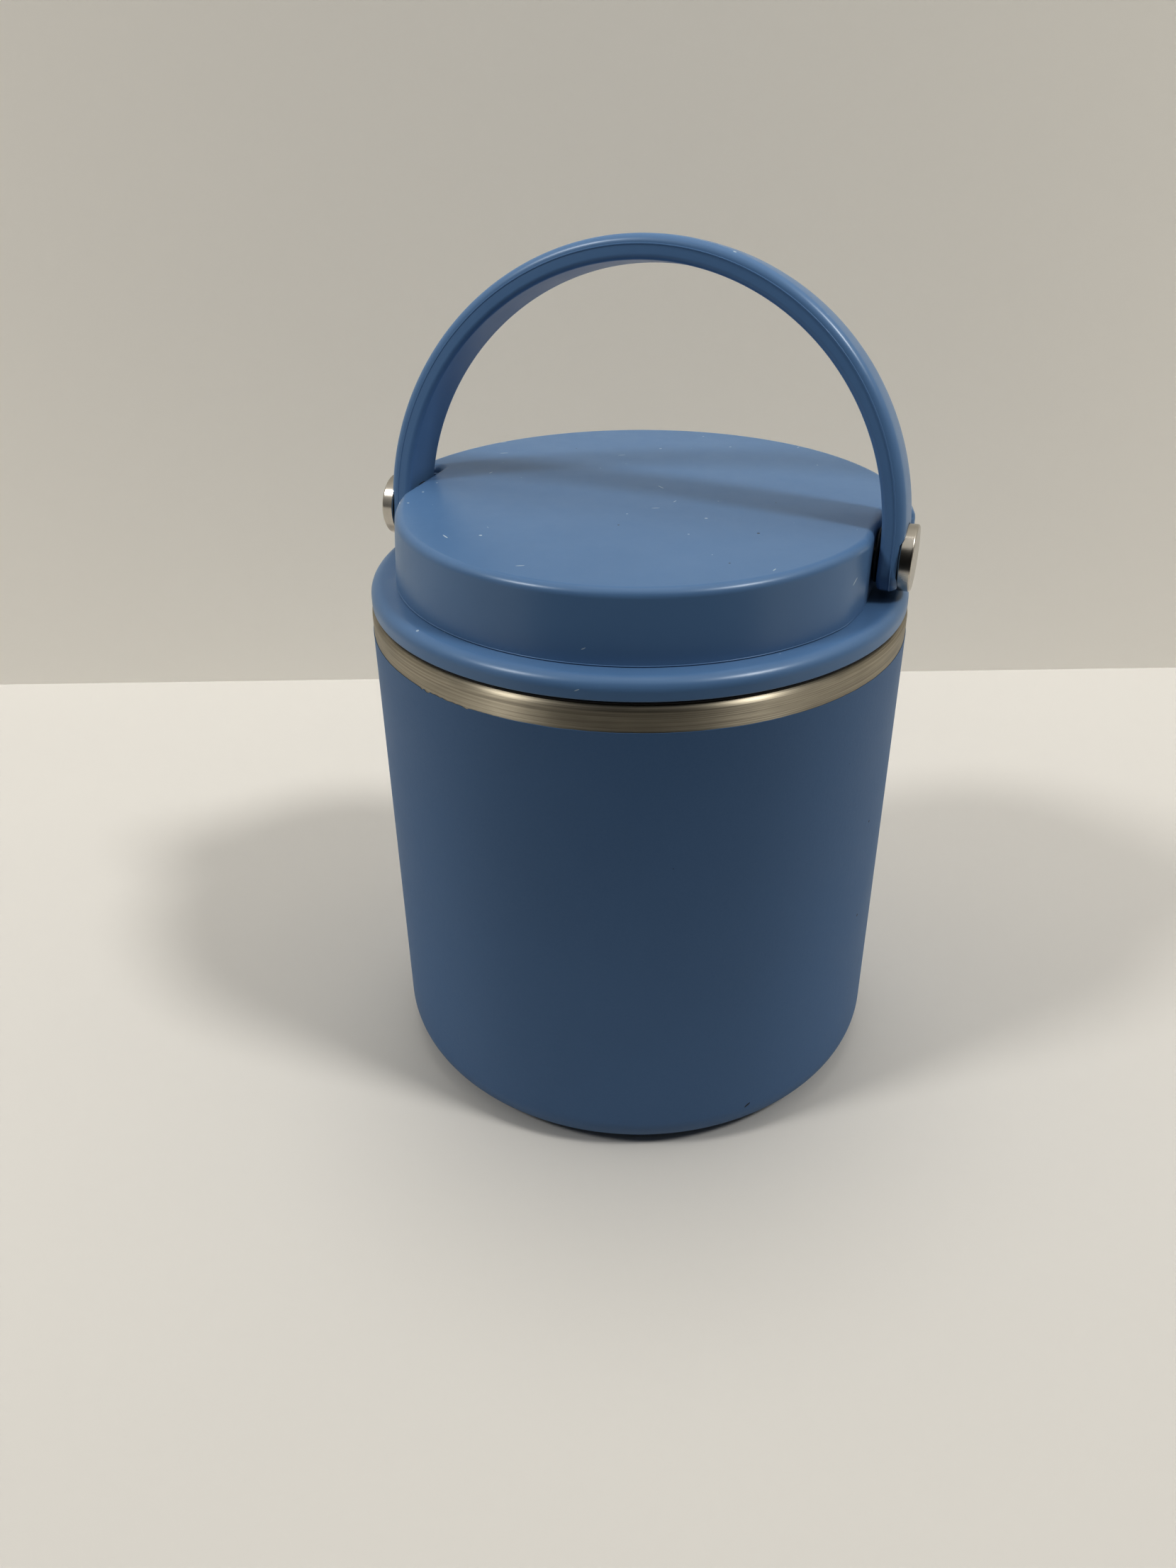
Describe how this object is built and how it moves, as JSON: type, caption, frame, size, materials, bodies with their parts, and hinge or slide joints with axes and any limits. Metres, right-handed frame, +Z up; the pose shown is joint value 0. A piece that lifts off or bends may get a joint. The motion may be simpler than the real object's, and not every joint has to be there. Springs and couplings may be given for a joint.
{
  "type": "insulated food jar",
  "caption": "Round double-walled steel food jar with a blue coat, a foam-filled screw lid and a carry handle that folds forward onto a ledge round the lid.",
  "frame": {"origin": "centre of the foot ring, on the surface that the jar stands on", "axes": "+Z up along the axis of the jar, X along the handle's two pins, -Y the front, towards which the handle folds"},
  "size_m": [0.1052, 0.105, 0.1662],
  "materials": {
    "coated_steel": "fine matte powder coat, bare brushed steel above it",
    "steel": "fine lines running round the jar",
    "pin_steel": "polished side, spun face",
    "lid_plastic": "satin moulded plastic",
    "handle_plastic": "satin moulded plastic with a fine parting line",
    "silicone": "soft black",
    "washer_nylon": "plain black",
    "insert_brass": "turned",
    "foam": "cast foam",
    "sealing_glass": "dark solder glass",
    "getter_metal": "sintered"
  },
  "bodies": {
    "jar": {"outer_shell": "coated_steel", "inner_liner": "steel", "outer_base": "steel", "base_disc": "steel", "vacuum_seal": "sealing_glass", "getter": "getter_metal"},
    "seal_ring": {"lid_gasket": "silicone"},
    "lid": {"lid_base": "lid_plastic", "lid_cover": "lid_plastic", "lid_foam": "foam", "handle_pin_left": "pin_steel", "handle_pin_right": "pin_steel", "pin_insert_left": "insert_brass", "pin_insert_right": "insert_brass", "handle_washer_left": "washer_nylon", "handle_washer_right": "washer_nylon"},
    "bail": {"handle": "handle_plastic"}
  },
  "joints": [
    {"name": "lid_rise", "type": "slide", "parent": "jar", "child": "seal_ring", "axis": [0, 0, 1], "range_m": [0, 0.03001]},
    {"name": "lid_turn", "type": "hinge", "parent": "seal_ring", "child": "lid", "pos_m": [0, 0, 0.1029], "axis": [0, 0, 1], "range_deg": [0, 1080]},
    {"name": "handle_fold", "type": "hinge", "parent": "lid", "child": "bail", "pos_m": [0, 0, 0.1141], "axis": [1, 0, 0], "range_deg": [0, 100]}
  ],
  "couplings": [
    {"joint": "lid_rise", "follows": "lid_turn", "m_per_rad": 0.0015915}
  ]
}
